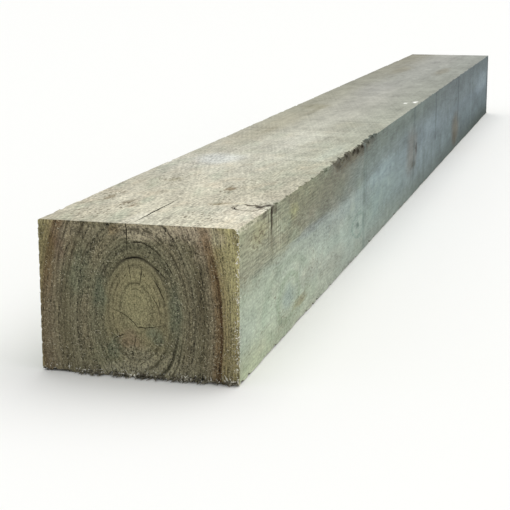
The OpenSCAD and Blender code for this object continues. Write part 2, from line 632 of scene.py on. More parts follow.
# Rows of bites: from and to (along, across, up), the spacing, the share left out, how far
# each strays, the smallest and largest half sizes, the seed, and what their walls wear
BITES = [
    ((446, -100.5, 147), (716, -100.5, 147), 29, 0.1, (1.5, 0.8, 2.5), (6.0, 1.8, 5.5),
     (11.0, 4.4, 12.0), 51, FACE),
    ((461, -100.5, 147), (704, -100.5, 147), 29, 0.2, (1.5, 0.8, 2.5), (6.0, 1.8, 5.0),
     (11.0, 4.2, 11.0), 52, FACE),
    ((384, -100.2, 148.5), (440, -100.2, 148.5), 17, 0.15, (1.5, 0.5, 1.0), (3.0, 1.2, 3.5),
     (6.0, 3.2, 8.0), 64, FACE),
    ((372, -100, 149), (742, -100, 149), 21, 0.2, (2.5, 0.8, 1.5), (3.0, 1.2, 2.0),
     (6.9, 2.8, 6.0), 63, FACE),
    ((98, -99, 149), (127, -99, 149), 5.2, 0.25, (2.0, 2.0, 1.6), (0.6, 1.2, 1.2),
     (1.5, 5.4, 5.4), 50, TORN_WOOD),
    ((136, -100, 150), (418, -100, 150), 26, 0.35, (8.0, 0.5, 0.5), (2.5, 1.0, 1.0),
     (9.0, 2.8, 3.4), 53, FACE),
    ((690, -100, 150), (2390, -100, 150), 44, 0.3, (14.0, 0.6, 0.6), (4.0, 1.2, 1.2),
     (15.0, 3.0, 3.4), 54, FACE),
    ((12, 100, 150), (2390, 100, 150), 47, 0.3, (15.0, 0.6, 0.6), (4.0, 1.2, 1.2),
     (16.0, 3.2, 3.2), 55, TOP),
    ((10, -100, 0), (2390, -100, 0), 33, 0.3, (10.0, 0.6, 0.6), (4.0, 1.5, 1.5),
     (12.0, 3.0, 3.0), 56, TORN_WOOD),
    ((10, 100, 0), (2390, 100, 0), 41, 0.3, (12.0, 0.6, 0.6), (4.0, 1.5, 1.5),
     (15.0, 3.0, 3.0), 57, TORN_WOOD),
    ((0, -96, 0), (0, 97, 0), 8.3, 0.15, (0.5, 1.6, 0.8), (8.0, 1.1, 2.5),
     (19.0, 2.5, 6.5), 58, TORN_WOOD),
    ((0, -97, 0.5), (0, 96, 0.5), 5.1, 0.3, (0.5, 1.0, 0.8), (1.5, 0.7, 1.2),
     (3.5, 1.6, 4.0), 62, TORN_WOOD),
    ((0, -100, 8), (0, -100, 142), 6.1, 0.2, (0.3, 0.3, 1.6), (0.8, 0.6, 0.6),
     (2.0, 1.9, 1.4), 59, END_GRAIN),
    ((LENGTH, -95, 0), (LENGTH, 95, 0), 6.4, 0.2, (0.5, 1.2, 0.5), (1.0, 0.7, 0.8),
     (2.8, 2.0, 3.2), 60, TORN_WOOD),
    ((LENGTH, 100, 8), (LENGTH, 100, 142), 7.3, 0.3, (0.3, 0.3, 1.8), (0.8, 0.6, 0.6),
     (1.8, 1.5, 1.8), 61, END_GRAIN),
]


def bite_cutters(start, end, spacing, gaps, stray, smallest, largest, seed):
    """One row of bites as a mesh."""
    start, end = (tuple(place(*corner)[0]) for corner in (start, end))
    return grown("bites", new_mesh("bites", [], []), bite_tree(), Start=start, End=end,
                 Spacing=spacing * MM, Gaps=gaps, Stray=[s * MM for s in stray],
                 Smallest=[s * MM for s in smallest], Largest=[s * MM for s in largest],
                 Seed=seed)


# Where the bottom of an end is most splintered: middles across, reach and height
TUFTS, TUFT_REACH, TUFT_HEIGHT = (5.0, -46.0, -92.0), 7, 4


def near_tufts(y, z):
    """Whether a place lies within one of the tufts along an end's lower edge."""
    return (z < TUFT_HEIGHT) & (np.abs(y[:, None] - TUFTS).min(1) < TUFT_REACH)


def ring_width_at(y, z):
    return ring_width(np.stack([np.zeros_like(y), y, z], 1))


# Where fibres stand out of the ends: a test on (across, up), how many on each square
# centimetre, their length and half thickness, the angles they lean by, the seed and slot
FIBRE_AREAS = [
    (lambda y, z: ring_width_at(y, z) > 36, 3.4, 3.8, 0.30, 1.2, 1.52, 71, RAISED_FIBRE),
    (lambda y, z: (z < 42) & (ring_width_at(y, z) > 24), 3.4, 4.6, 0.34, 1.1, 1.5, 75,
     RAISED_FIBRE),
    (lambda y, z: (z < 3.5) & (y < 62), 15.0, 6.5, 0.7, 0.5, 1.45, 72, RAISED_FIBRE),
    (near_tufts, 34.0, 9.5, 1.25, 0.35, 1.4, 76, RAISED_FIBRE),
    (lambda y, z: (z < 3.0) & (y < 64), 26.0, 14.0, 1.7, 0.1, 0.9, 79, TORN_WOOD),
    (lambda y, z: y < -97.3, 28.0, 3.6, 0.7, 0.6, 1.4, 73, RAISED_FIBRE),
    (lambda y, z: (y < -90) & (z < 60), 8.0, 3.6, 0.5, 1.0, 1.5, 77, RAISED_FIBRE),
    (lambda y, z: y > 98, 16.0, 2.4, 0.45, 0.6, 1.4, 78, RAISED_FIBRE),
    (lambda y, z: z > 147.5, 6.0, 2.4, 0.32, 1.0, 1.4, 74, RAISED_FIBRE),
]

FIBRE_ROOT = 0.7  # how deep below an end its fibres are rooted
# Fibres that reach further than this are pressed back to it.
FIBRE_LOW = TIMBER_LOW + np.array([-9.0, -2.2, 0.3]) * MM
FIBRE_HIGH = TIMBER_HIGH + np.array([9.0, 2.2, 2.0]) * MM


def torn_fibres(grid, finishes):
    """The fibres and splinters that the saw tore out of both ends, as one piece."""
    base, faces, sides = grid
    tree = fibre_tree()
    parts = []
    for side in (HEAD, FOOT):
        chosen = [face for face, face_side in zip(faces, sides) if face_side == side]
        middle = np.array([base[face].mean(0) for face in chosen])
        for test, density, length, thickness, least, most, seed, slot in FIBRE_AREAS:
            inside = test(middle[:, 1], middle[:, 2])
            kept = [face for face, keep in zip(chosen, inside) if keep]
            used = sorted({v for face in kept for v in face})
            number = {v: i for i, v in enumerate(used)}
            skin = new_mesh("skin", place(*(base[used] + FIBRE_ROOT * INWARDS[side]).T),
                            [[number[v] for v in face] for face in kept])
            part = grown("fibres", skin, tree, Per_Area=density * 1e4, Length=length * MM,
                         Thickness=thickness * MM, Least_Lean=least, Most_Lean=most,
                         Seed=seed + side, Material=finishes[slot])
            parts.append((part, slot))
    return merged("torn_fibres", parts, finishes)


def merged(name, parts, finishes):
    """One object from several (mesh, slot), each in the finish that its slot names."""
    slots = sorted({slot for _, slot in parts})
    points, polygons, worn = [], [], []
    for mesh, slot in parts:
        first = len(points)
        points += [np.clip(v.co, FIBRE_LOW, FIBRE_HIGH) for v in mesh.vertices]
        polygons += [[first + v for v in p.vertices] for p in mesh.polygons]
        worn += [slots.index(slot)] * len(mesh.polygons)
    whole = new_mesh(name, points, polygons)
    for slot in slots:
        whole.materials.append(finishes[slot])
    whole.polygons.foreach_set("material_index", np.array(worn, np.int32))
    return new_object(name, whole)


# ---------------------------------------------------------------- shaping

def outward(mesh):
    """Turns every face of a closed mesh outwards."""
    shape = bmesh.new()
    shape.from_mesh(mesh)
    bmesh.ops.recalc_face_normals(shape, faces=shape.faces)
    shape.to_mesh(mesh)
    shape.free()


def cut(target, cutter_mesh, slot):
    """Takes a closed cutter out of target. The cut's walls wear the given slot."""
    cutter_mesh.materials.clear()
    for material in target.data.materials:
        cutter_mesh.materials.append(material)
    slots = np.full(len(cutter_mesh.polygons), slot, np.int32)
    cutter_mesh.polygons.foreach_set("material_index", slots)
    left, bottom, width, height = UV_SPLITS
    share = corner_vertices(cutter_mesh) / (len(cutter_mesh.vertices) - 1)
    places = [left + width * (share * UV_WINDINGS % 1), bottom + height * share]
    layer = cutter_mesh.uv_layers.new(name="OFBake")
    layer.uv.foreach_set("vector", np.column_stack(places).astype(np.float32).ravel())
    cutter = new_object("cutter", cutter_mesh)
    modifier = target.modifiers.new("cut", "BOOLEAN")
    modifier.operation = "DIFFERENCE"
    modifier.solver = "MANIFOLD"
    modifier.object = cutter
    bake_modifiers(target)
    bpy.data.objects.remove(cutter)


def bake_modifiers(target):
    """Turns what an object's modifiers give into its plain mesh."""
    graph = bpy.context.evaluated_depsgraph_get()
    graph.update()
    finished = bpy.data.meshes.new_from_object(target.evaluated_get(graph))
    target.modifiers.clear()
    target.data = finished


FULL_WEAR = 2.0  # millimetres worn off an arris where it is fully bruised


def make_timber(materials):
    """The timber, and the grid that it was made from."""
    base, faces, sides = timber_grid()
    points = base.copy()
    relief(points, base)
    sunk = points.copy()
    wear_arrises(points, base)
    mesh = new_mesh("sleeper_timber", place(*points.T), faces)
    worn_away = np.linalg.norm(points - sunk, axis=1)
    wear = mesh.attributes.new("wear", "FLOAT", "POINT")
    wear.data.foreach_set("value", np.clip(worn_away / FULL_WEAR, 0, 1).astype(np.float32))
    for material in materials[:RAISED_FIBRE]:
        mesh.materials.append(material)
    slots = np.minimum(sides, END_GRAIN).astype(np.int32)
    mesh.polygons.foreach_set("material_index", slots)
    lay_out_map(mesh, base, sides)
    timber = new_object("sleeper_timber", mesh)
    for *row, slot in BITES:
        cut(timber, bite_cutters(*row), slot)
    for vertices, polygons in split_cutters():
        blades = new_mesh("splits", vertices, polygons)
        outward(blades)
        cut(timber, blades, SPLIT_WALL)
    timber.data.name = "sleeper_timber"
    timber.data.validate()
    return timber, base, faces, sides


# ---------------------------------------------------------------- nodes

def linear(hex_colour, alpha=1.0):
    """An sRGB hex colour as linear RGBA."""
    parts = [int(hex_colour[i:i + 2], 16) / 255 for i in (1, 3, 5)]
    return (*[p / 12.92 if p <= 0.04045 else ((p + 0.055) / 1.055) ** 2.4 for p in parts], alpha)


def add(tree, kind, inputs=None, out=0, **settings):
    """Adds a node, makes its settings, links or sets each input, and returns one output."""
    made = tree.nodes.new(kind)
    for name, value in settings.items():
        setattr(made, name, value)
    for socket, value in (inputs or {}).items():
        if isinstance(value, bpy.types.NodeSocket):
            tree.links.new(value, made.inputs[socket])
        else:
            made.inputs[socket].default_value = value
    return made.outputs[out] if len(made.outputs) else made


# Mix's sockets for two colours
COLOUR_A, COLOUR_B, COLOUR_OUT = 6, 7, 2


def timber_place(tree):
    """The place in millimetres: along from the head, across, and up from the bed."""
    metres = add(tree, "ShaderNodeTexCoord", out="Object")
    start = (-TIMBER_LOW[0] / MM, -MIDDLE_Y / MM, -TIMBER_LOW[2] / MM)
    return add(tree, "ShaderNodeVectorMath", {0: metres, 1: (1 / MM,) * 3, 2: start},
               operation="MULTIPLY_ADD")


def blotches(tree, place, size, seed=0, detail=2.0):
    """Noise from 0 to 1 with blotches of this size in millimetres on each axis."""
    scaled = add(tree, "ShaderNodeVectorMath",
                 {0: place, 1: [1 / s for s in size], 2: (seed * 7.3,) * 3},
                 operation="MULTIPLY_ADD")
    return add(tree, "ShaderNodeTexNoise", {"Vector": scaled, "Scale": 1.0, "Detail": detail})


def stripes(tree, level, spacing, seed=0):
    """Noise from 0 to 1 in stripes that lie about spacing millimetres apart in level."""
    shifted = add(tree, "ShaderNodeMath", {0: level, 1: seed * 371.0}, operation="ADD")
    return add(tree, "ShaderNodeTexNoise", {"W": shifted, "Scale": 1 / spacing, "Detail": 1.0},
               noise_dimensions="1D")


def mask(tree, value, start, end, *within):
    """0 where value is under start and 1 where it is over end, times each of within. It
    falls instead if end is under start."""
    share = add(tree, "ShaderNodeMapRange", {0: value, 1: start, 2: end},
                interpolation_type="SMOOTHSTEP")
    for other in within:
        share = add(tree, "ShaderNodeMath", {0: share, 1: other}, operation="MULTIPLY")
    return share


def patch(tree, place, centre, size, share, hollow=False):
    """A soft-edged oval: share at its centre and 0 past size. A hollow one is its rim."""
    offset = [-c / s for c, s in zip(centre, size)]
    local = add(tree, "ShaderNodeVectorMath",
                {0: place, 1: [1 / s for s in size], 2: offset}, operation="MULTIPLY_ADD")
    reach = add(tree, "ShaderNodeVectorMath", {0: local}, "Value", operation="LENGTH")
    if hollow:
        return band(tree, reach, 0.82, 0.18, share)
    return mask(tree, reach, 1.0, 0.25, share)


def band(tree, value, at, width, *within):
    """1 where value is near at and 0 where it is over width away, times each of within."""
    off = add(tree, "ShaderNodeMath", {0: value, 1: at}, operation="SUBTRACT")
    off = add(tree, "ShaderNodeMath", {0: off}, operation="ABSOLUTE")
    return mask(tree, off, width, 0.2 * width, *within)


def painted(tree, colour, layers):
    """Lays each (hex colour, mask) over the colour."""
    for shade, share in layers:
        colour = add(tree, "ShaderNodeMix",
                     {0: share, COLOUR_A: colour, COLOUR_B: linear(shade)}, COLOUR_OUT,
                     data_type="RGBA")
    return colour


def mottled(tree, colour, patterns):
    """Lightens and darkens the colour. Each pattern is noise from 0 to 1, how far it
    swings the light, and masks of where."""
    light = 1.0
    for noise, swing, *masks in patterns:
        for share in masks:
            swing = add(tree, "ShaderNodeMath", {0: share, 1: swing}, operation="MULTIPLY")
        middle = add(tree, "ShaderNodeMath", {0: noise, 1: 0.5}, operation="SUBTRACT")
        light = add(tree, "ShaderNodeMath", {0: middle, 1: swing, 2: light},
                    operation="MULTIPLY_ADD")
    return add(tree, "ShaderNodeMix", {0: 1.0, COLOUR_A: colour, COLOUR_B: light}, COLOUR_OUT,
               data_type="RGBA", blend_type="MULTIPLY")


def warped(tree, place, grain, reach, seed):
    """The place, moved about by up to reach, so that what is laid out on it has uneven
    edges."""
    noise = blotches(tree, place, grain, seed).node.outputs["Color"]
    centred = add(tree, "ShaderNodeVectorMath", {0: noise, 1: (0.5, 0.5, 0.5)},
                  operation="SUBTRACT")
    return add(tree, "ShaderNodeVectorMath",
               {0: centred, 1: [2 * r for r in reach], 2: place}, operation="MULTIPLY_ADD")


def ramp(tree, value, stops):
    """A colour for each value, eased between stops of (value, hex colour)."""
    low, high = stops[0][0], stops[-1][0]
    share = add(tree, "ShaderNodeMapRange", {0: value, 1: low, 2: high})
    colour = add(tree, "ShaderNodeValToRGB", {0: share})
    spots = colour.node.color_ramp.elements
    while len(spots) < len(stops):
        spots.new(0.5)
    for spot, (at, _) in zip(spots, stops):
        spot.position = (at - low) / (high - low)
    for spot, (_, shade) in zip(spots, stops):
        spot.color = linear(shade)
    return colour


def lane_colours(tree, along, level, lanes):
    """A colour from lanes that run along the timber. Each is (level, stops along)."""
    last, stops = lanes[0]
    colour = ramp(tree, along, stops)
    for centre, stops in lanes[1:]:
        colour = add(tree, "ShaderNodeMix",
                     {0: mask(tree, level, last, centre), COLOUR_A: colour,
                      COLOUR_B: ramp(tree, along, stops)}, COLOUR_OUT, data_type="RGBA")
        last = centre
    return colour


def growth_rings(tree, place, sway):
    """Half width of the growth ring at each place, and the offset from the ring's middle.
    It is ring_width() in nodes, and the rings wander by up to sway millimetres."""
    place = warped(tree, place, (420, 34, 42), (0, sway, sway), 3)
    place = warped(tree, place, (60, 5, 7), (0, 0.12 * sway, 0.12 * sway), 4)
    flat = (0, 1, 1 / INNER_TALLNESS)
    offset = (0, -ROUGH_MIDDLE[0], -ROUGH_MIDDLE[1] / INNER_TALLNESS)
    rough = add(tree, "ShaderNodeVectorMath", {0: place, 1: flat, 2: offset},
                operation="MULTIPLY_ADD")
    rough = add(tree, "ShaderNodeVectorMath", {0: rough}, "Value", operation="LENGTH")
    outer = mask(tree, rough, INNER_END, OUTER_START)
    middle_across = add(tree, "ShaderNodeMath", {0: outer, 1: OUTER_SHIFT, 2: PITH_ACROSS},
                        operation="MULTIPLY_ADD")
    capped = add(tree, "ShaderNodeMath", {0: rough, 1: OUTER_START}, operation="MINIMUM")
    middle_up = add(tree, "ShaderNodeMath", {0: capped, 1: -RING_DROP, 2: PITH_UP},
                    operation="MULTIPLY_ADD")
    middle = add(tree, "ShaderNodeCombineXYZ", {"Y": middle_across, "Z": middle_up})
    tallness = add(tree, "ShaderNodeMath",
                   {0: outer, 1: OUTER_TALLNESS - INNER_TALLNESS, 2: INNER_TALLNESS},
                   operation="MULTIPLY_ADD")
    tall = add(tree, "ShaderNodeCombineXYZ", {"X": 1.0, "Y": 1.0, "Z": tallness})
    out = add(tree, "ShaderNodeVectorMath", {0: place, 1: middle}, operation="SUBTRACT")
    out = add(tree, "ShaderNodeVectorMath", {0: out, 1: tall}, operation="DIVIDE")
    out = add(tree, "ShaderNodeVectorMath", {0: out, 1: (0, 1, 1)}, operation="MULTIPLY")
    return add(tree, "ShaderNodeVectorMath", {0: out}, "Value", operation="LENGTH"), out


def ring_noise(tree, rings, turn, thick, turns):
    """Noise from 0 to 1 drawn out along the rings: patches thick millimetres across the
    rings, and shorter the more turns there are."""
    step = add(tree, "ShaderNodeCombineXYZ", {"X": rings})
    swept = add(tree, "ShaderNodeVectorMath", {0: turn, 1: (0, turns, turns)},
                operation="MULTIPLY")
    curled = add(tree, "ShaderNodeVectorMath", {0: step, 1: (1 / thick, 0, 0), 2: swept},
                 operation="MULTIPLY_ADD")
    return add(tree, "ShaderNodeTexNoise", {"Vector": curled, "Scale": 1.0, "Detail": 2.0})


def finish_material(name, colour_of, roughness, relief_depth, specular=0.25):
    """A material whose colour and relief come from colour_of(tree, place)."""
    material = bpy.data.materials.new(name)
    material.use_nodes = True
    tree = material.node_tree
    shader = tree.nodes["Principled BSDF"]
    shader.inputs["Roughness"].default_value = roughness
    shader.inputs["Specular IOR Level"].default_value = specular
    colour, height = colour_of(tree, timber_place(tree))
    bump = add(tree, "ShaderNodeBump",
               {"Height": height, "Distance": relief_depth * MM, "Strength": 1.0})
    tree.links.new(colour, shader.inputs["Base Color"])
    tree.links.new(bump, shader.inputs["Normal"])
    return material


# ---------------------------------------------------------------- the ends' finish

# Green-tinted heartwood and sapwood, by the half width of the growth ring
RING_COLOURS = [
    (0, "#928c6a"), (12, "#8d8767"), (22, "#837c5e"), (30, "#7d775b"), (36, "#716d55"),
    (44, "#6d6a54"), (54, "#7b745c"), (62, "#736e58"), (70, "#6b654e"), (78, "#7a725b"),
    (86, "#7c6f57"), (90, "#6f6046"), (93.5, "#8b7f5c"), (101, "#989069"), (112, "#a7a075"),
]

# Tints of the end grain: centre (across, up), size, share and colour. The pale ones low
# down, within about 25 mm of the bed, are partly pale torn fibres and partly painted light,
# which lifts the shade that falls on the end near the floor.
END_PATCHES = [
    ((0, 82), (28, 34), 0.5, "#958f6b"),
    ((8, 36), (17, 15), 0.55, "#806d59"),
    ((-17, 41), (12, 14), 0.5, "#677260"),
    ((60, 100), (22, 36), 0.38, "#636d58"),
    ((38, 82), (10, 30), 0.42, "#5f6b59"),
    ((24, 28), (12, 14), 0.5, "#66705d"),
    ((-37, 66), (9, 34), 0.4, "#606b59"),
    ((70, 128), (9, 34), 0.4, "#8a7d64"),
    ((-50, 147), (40, 18), 0.8, "#ac9f88"),
    ((-66, 134), (12, 22), 0.4, "#96826c"),
    ((-8, 143), (44, 14), 0.7, "#a69c84"),
    ((62, 141), (26, 14), 0.3, "#9d937b"),
    ((-78, 141), (10, 15), 0.6, "#b0a489"),
    ((93, 122), (9, 36), 0.5, "#6c6446"),
    # Pale near the bed: torn fibres, and painted light against the shade near the floor
    ((0, 22), (26, 12), 0.4, "#9a9680"),
    ((-8, 7), (16, 10), 0.55, "#a29e88"),
    ((-62, 121), (12, 14), 0.4, "#968c74"),
    ((79, 132), (9, 40), 0.5, "#776454"),
    ((20, 6), (22, 12), 0.5, "#8d8a6c"),
    ((36, 18), (34, 16), 0.35, "#838266"),
    ((-62, 80), (7, 56), 0.55, "#524a38"),
    ((24, 144), (9, 7), 0.3, "#836a42"),
    ((57, 136), (6, 10), 0.35, "#3f372b"),
    ((34, 102), (7, 10), 0.4, "#463f32"),
    # Pale near the bed: torn fibres, and painted light against the shade near the floor
    ((-10, 5), (80, 12), 0.5, "#8f8b73"),
    ((-22, 12), (52, 16), 0.55, "#979178"),
    ((14, 5), (36, 12), 0.5, "#a19c84"),
    ((78, 139), (10, 12), 0.5, "#8f8771"),
    ((91, 121), (8, 14), 0.35, "#575038"),
    ((-76, 140), (7, 14), 0.4, "#9c9b7c"),
    ((-92, 18), (14, 60), 0.55, "#7a6f50"),
    ((-96, 142), (12, 16), 0.5, "#857c5a"),
    ((94, 40), (12, 70), 0.5, "#6f6652"),
]


# Dark lines along growth rings: the ring's half width, the line's half width, its colour,
# where it shows, how it is broken up and its share
RING_LINES = [
    (34.2, 2.0, "#444031", "over the heart", "whole", 0.75),
    (45.0, 1.4, "#3f3b2c", "upper", "broken", 0.75),
    (53.0, 1.3, "#3f3b2c", "upper right", "broken", 0.75),
    (61.0, 1.2, "#433e2f", "upper right", "dashed", 0.6),
    (68.5, 1.2, "#433e2f", "upper right", "dashed", 0.5),
    (76.5, 1.2, "#463f2f", "upper right", "dashed", 0.4),
    (39.5, 1.2, "#3f3b2c", "round the heart", "dashed", 0.5),
    (42.4, 1.9, "#3c3a2a", "lower right", "whole", 0.75),
    (47.6, 1.4, "#3c3a2a", "lower right", "whole", 0.6),
    (35.0, 1.3, "#45422f", "lower right", "broken", 0.7),
    (54.5, 1.5, "#45402f", "lower right", "broken", 0.5),
    (62.0, 1.3, "#40392a", "upper left", "broken", 0.7),
    (70.0, 1.4, "#40392a", "upper left", "broken", 0.7),
    (79.5, 1.5, "#40392a", "upper left", "broken", 0.6),
    (7.6, 0.8, "#504b36", "above the pith", "broken", 0.5),
    (12.4, 0.8, "#504b36", "above the pith", "broken", 0.65),
    (16.6, 0.9, "#4c4734", "above the pith", "broken", 0.8),
    (20.4, 0.8, "#504b36", "above the pith", "dashed", 0.5),
    (23.8, 1.0, "#4a4533", "everywhere", "dashed", 0.8),
    (29.0, 1.0, "#4a4533", "everywhere", "dashed", 0.6),
]
END_SWAY = 2.2  # how far the rings wander on an end


def with_heart_stain(tree, place, rings, across, slant, colour):
    """The red-brown band just inside the sapwood: soft high up, with a crisp core lower
    down towards the face side."""
    stained = mask(tree, slant, -52, -4)
    uneven = mask(tree, blotches(tree, place, (40, 7, 16), 18), 0.2, 0.5)
    crisp = mask(tree, slant, 160, 146, mask(tree, across, 112, 30))
    return painted(tree, colour, [
        ("#6e5839", band(tree, rings, 87.2, 6.4, stained, 0.45)),
        ("#483520", band(tree, rings, 90.2, 2.4, stained, uneven, crisp, 0.85))])


def with_ring_lines(tree, rings, across, up, slant, dashes, colour):
    """The dark lines where late wood and fine shakes follow the rings."""
    areas = {
        "everywhere": 1.0,
        "above the pith": mask(tree, up, 50, 78),
        "over the heart": mask(tree, up, 88, 112),
        "round the heart": mask(tree, up, 84, 108),
        "upper": mask(tree, up, 70, 112),
        "upper left": mask(tree, across, 38, 56, mask(tree, up, 84, 116)),
        "upper right": mask(tree, slant, 55, 95),
        "lower right": mask(tree, up, 52, 30, mask(tree, across, 2, -10)),
    }
    runs = {
        "whole": 1.0,
        "broken": mask(tree, dashes, 0.60, 0.48),
        "dashed": mask(tree, dashes, 0.53, 0.42),
    }
    return painted(tree, colour, [
        (shade, band(tree, rings, at, width, areas[area], runs[run], share))
        for at, width, shade, area, run, share in RING_LINES])


def end_grain_colour(tree, place):
    """Cross-cut pine that has stood in preservative: the cut ends of its fibres are torn
    and soak it up, so they look dark and speckled round a smoother, paler heart."""
    _, across, up = add(tree, "ShaderNodeSeparateXYZ", {0: place}).node.outputs
    rings, out = growth_rings(tree, place, END_SWAY)
    slant = add(tree, "ShaderNodeVectorMath", {0: place, 1: (0, -1, 0.7)}, "Value",
                operation="DOT_PRODUCT")
    loose = warped(tree, place, (40, 14, 14), (0, 7, 7), 11)
    colour = painted(tree, ramp(tree, rings, RING_COLOURS), [
        (shade, patch(tree, loose, (0, *centre), (1000, *size), share))
        for centre, size, share, shade in END_PATCHES])
    colour = with_heart_stain(tree, place, rings, across, slant, colour)

    # Torn fibres between the hard rings: speckle, drawn out along the rings
    smooth = mask(tree, rings, 38, 29, mask(tree, up, 24, 46))
    rough = add(tree, "ShaderNodeMath", {0: 1.0, 1: smooth}, operation="SUBTRACT")
    heartwood = mask(tree, rings, 96, 90)
    face_half = mask(tree, across, 105, 45)
    turn = add(tree, "ShaderNodeVectorMath", {0: out}, operation="NORMALIZE")
    torn = ring_noise(tree, rings, turn, 1.4, 20)
    fuzz = blotches(tree, place, (5, 1.3, 1.5), 12)
    saw = blotches(tree, place, (30, 1.2, 24), 14, 1.0)
    colour = mottled(tree, colour, [
        (torn, 1.1, rough, heartwood, face_half), (torn, 1.0),
        (fuzz, 0.4, rough, face_half), (fuzz, 2.1),
        (blotches(tree, place, (9, 3.2, 3.6), 17, 1.0), 0.5),
        (stripes(tree, rings, 1.8), 0.9, rough), (stripes(tree, rings, 6.0, 1), 0.7, rough),
        (stripes(tree, rings, 3.3, 2), 0.6),
        (saw, 1.3, mask(tree, rings, 92, 96)),
        (blotches(tree, place, (40, 17, 24), 15), 0.3)])

    clusters = mask(tree, blotches(tree, place, (40, 15, 15), 16), 0.40, 0.60)
    clotted = blotches(tree, place, (4, 1.5, 1.7), 19, 1.0)
    colour = painted(tree, colour, [
        ("#3b3727", mask(tree, clotted, 0.38, 0.30, rough, clusters, heartwood,
                         mask(tree, up, 140, 115, 0.4))),
        ("#bdb597", mask(tree, fuzz, 0.62, 0.70, rough, clusters, heartwood, 0.8))])
    dashes = ring_noise(tree, rings, turn, 2.6, 7)
    colour = with_ring_lines(tree, rings, across, up, slant, dashes, colour)
    height = add(tree, "ShaderNodeMath", {0: torn, 1: rough, 2: fuzz},
                 operation="MULTIPLY_ADD")
    return colour, height


# ---------------------------------------------------------------- the long faces' finish

# Lanes of colour on each long face, palest where it is bleached. Each is a level across or
# up, and stops of (distance from the head, colour).
TOP_LANES = [
    (-85, [(0, "#d2ccb6"), (90, "#dbd6c4"), (180, "#beb9a5"), (420, "#b5b5a2"),
           (905, "#a6a89a"), (1505, "#97998f"), (2400, "#979a93")]),
    (0, [(0, "#cdcab6"), (145, "#c7c2ae"), (410, "#c4c2b2"), (685, "#bbbaab"),
         (1170, "#abaaa0"), (1650, "#a0a199"), (2400, "#a9a9a2")]),
    (85, [(0, "#bbb5a0"), (123, "#c8c3b0"), (250, "#b4b09e"), (361, "#c4c1b2"),
          (570, "#b6b3a3"), (945, "#a5a391"), (1510, "#989789"), (2400, "#8d8a7c")]),
]
FACE_LANES = [
    (2, [(0, "#afb799"), (200, "#b4bba4"), (360, "#adb3a2"), (550, "#9ba398"),
         (895, "#848e86"), (1310, "#69736f"), (1775, "#57615d"), (2400, "#47514c")]),
    (46, [(0, "#b2bcaa"), (180, "#b3beab"), (360, "#adb8aa"), (730, "#8e9e99"),
         (1095, "#7d8a8c"), (1655, "#6d7a7c"), (2400, "#647175")]),
    (84, [(0, "#a6ae9a"), (200, "#afb8a8"), (440, "#9fa9a2"), (730, "#8a9a98"),
         (1090, "#7f8c90"), (1650, "#748084"), (2400, "#717e84")]),
    (101, [(0, "#9b9c86"), (130, "#9c9e88"), (200, "#90927c"), (312, "#87897a"), (470, "#7c8177"),
         (645, "#7e8a85"), (1090, "#7b8789"), (1650, "#727d7f"), (2400, "#768286")]),
    (140, [(0, "#9a9c82"), (110, "#9e9e86"), (190, "#8d8d75"), (309, "#84856f"), (455, "#737369"),
         (660, "#727b74"), (1030, "#737e78"), (1635, "#697273"), (2400, "#677274")]),
]
BACK_LANES = [
    (8, [(0, "#a5ab95"), (700, "#9aa191"), (1500, "#9da494"), (2400, "#a9ae98")]),
    (70, [(0, "#aab19c"), (500, "#a3ab9b"), (1300, "#9aa59d"), (2400, "#aeb4a0")]),
    (132, [(0, "#9b9c84"), (800, "#8f9382"), (1700, "#989b88"), (2400, "#a3a48d")]),
]
BED_LANES = [
    (-85, [(0, "#9c9b85"), (900, "#90917f"), (2400, "#9a9a85")]),
    (0, [(0, "#a3a28c"), (1200, "#989a88"), (2400, "#a3a18b")]),
    (85, [(0, "#98967f"), (1400, "#8e8f7d"), (2400, "#999882")]),
]

# Stains and knots: centre (along, across or up), size, share, colour, and True for a rim
TOP_PATCHES = [
    (KNOT, (19, 16), 0.9, "#dcd6c2", False),
    (KNOT, (22, 18), 0.8, "#7d7665", True),
    ((121, -75), (6, 7), 0.9, "#4c4336", False),
    ((118, -89), (11, 9), 1, "#362f25", False),
    ((126, -96), (13, 8), 1, "#3f372b", False),
    ((131, -64), (8, 9), 0.6, "#d3c9ad", False),
    ((127, -46), (8, 17), 0.75, "#8d8165", False),
    ((213, -31), (13, 9), 0.85, "#897a5f", False),
    ((231, -12), (22, 8), 0.6, "#d6cdb8", False),
    ((107, 50), (20, 7), 0.65, "#8b806a", False),
    ((88, 38), (14, 5), 0.5, "#9c8a72", False),
    ((132, 78), (24, 7), 0.65, "#8f8064", False),
    ((259, 47), (26, 9), 0.6, "#8f8970", False),
    ((27, 11), (50, 16), 0.4, "#d6d3c3", False),
    ((37, -37), (40, 24), 0.35, "#d3cfb9", False),
    ((430, 48), (66, 42), 0.7, "#d8dbd6", False),
    ((620, -10), (160, 36), 0.4, "#cac9bc", False),
    ((520, -78), (120, 16), 0.4, "#c3cabb", False),
    ((735, 60), (70, 10), 0.5, "#8f8a74", False),
    ((1000, 52), (100, 10), 0.5, "#89846f", False),
    ((450, -61), (22, 44), 0.4, "#c9cabb", False),
    ((327, -50), (160, 22), 0.45, "#aeaf9c", False),
    ((765, 65), (320, 34), 0.5, "#a9a48e", False),
    ((1060, 64), (60, 32), 0.6, "#908c76", False),
    ((1430, 20), (230, 50), 0.4, "#abaaa4", False),
    ((1870, 46), (170, 26), 0.5, "#8b8672", False),
    ((1855, -50), (150, 20), 0.5, "#8a8471", False),
    ((810, -39), (90, 30), 0.35, "#a29f8b", False),
    ((1175, -89), (24, 7), 1, "#fbfbf7", False),
    ((1150, -75), (14, 4), 1, "#f4f4ee", False),
]
